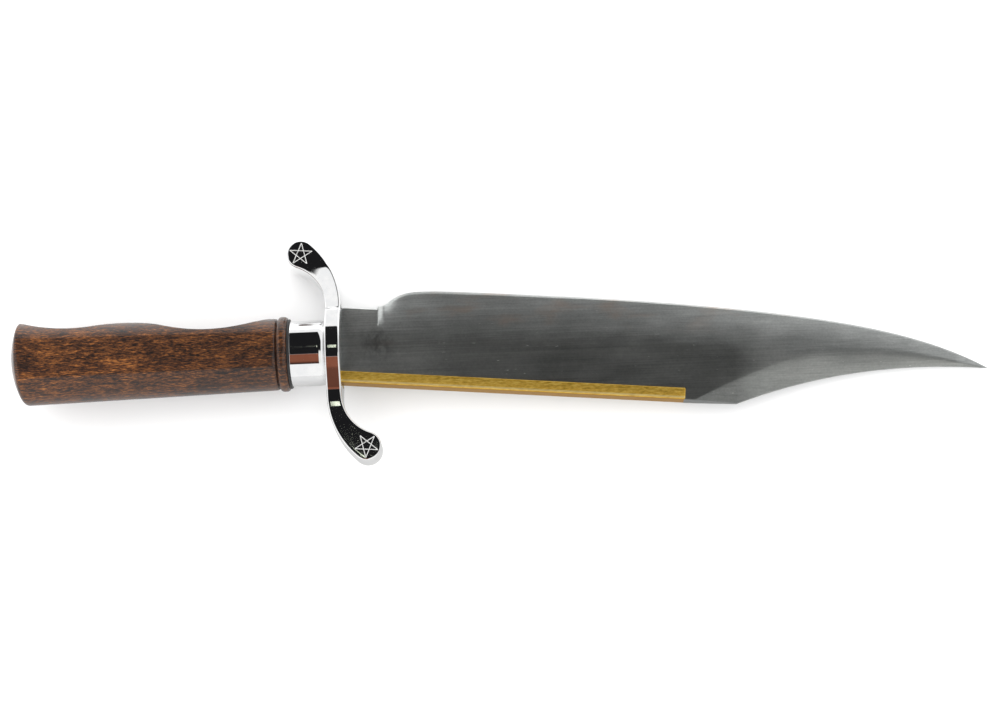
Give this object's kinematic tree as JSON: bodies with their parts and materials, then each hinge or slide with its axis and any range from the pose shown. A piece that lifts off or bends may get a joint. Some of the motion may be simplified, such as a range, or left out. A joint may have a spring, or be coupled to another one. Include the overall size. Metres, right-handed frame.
{
  "type": "clip-point bowie knife",
  "caption": "Fixed-blade clip-point knife: steel blade with a brass-covered back, S-shaped guard with engraved disc ends, ferrule and turned wooden grip with finger grooves.",
  "frame": {"origin": "on the grip axis, at the guard's front face, where the blade leaves it", "axes": "+X along the grip axis towards the point, +Y towards the cutting edge, +Z square to the blade's flats"},
  "size_m": [0.4238, 0.0998, 0.0358],
  "materials": {
    "blade_steel": "satin, darkened, fine lengthwise brushing",
    "strip_brass": "rubbed, lightly tarnished",
    "pin_brass": "filed flush",
    "guard_plate": "mirror polished, with satin engraved lines",
    "ferrule_plate": "mirror polished",
    "fibre": "matte vulcanised fibre",
    "grip_wood": "dark reddish brown, flecked, glossy lacquer",
    "resin": "cast resin, hidden"
  },
  "bodies": {
    "root": {"blade": "blade_steel", "spine_strip": "strip_brass", "strip_pin": "pin_brass", "guard": "guard_plate", "ferrule": "ferrule_plate", "front_spacer": "fibre", "grip": "grip_wood", "tang_bed": "resin"}
  },
  "joints": []
}
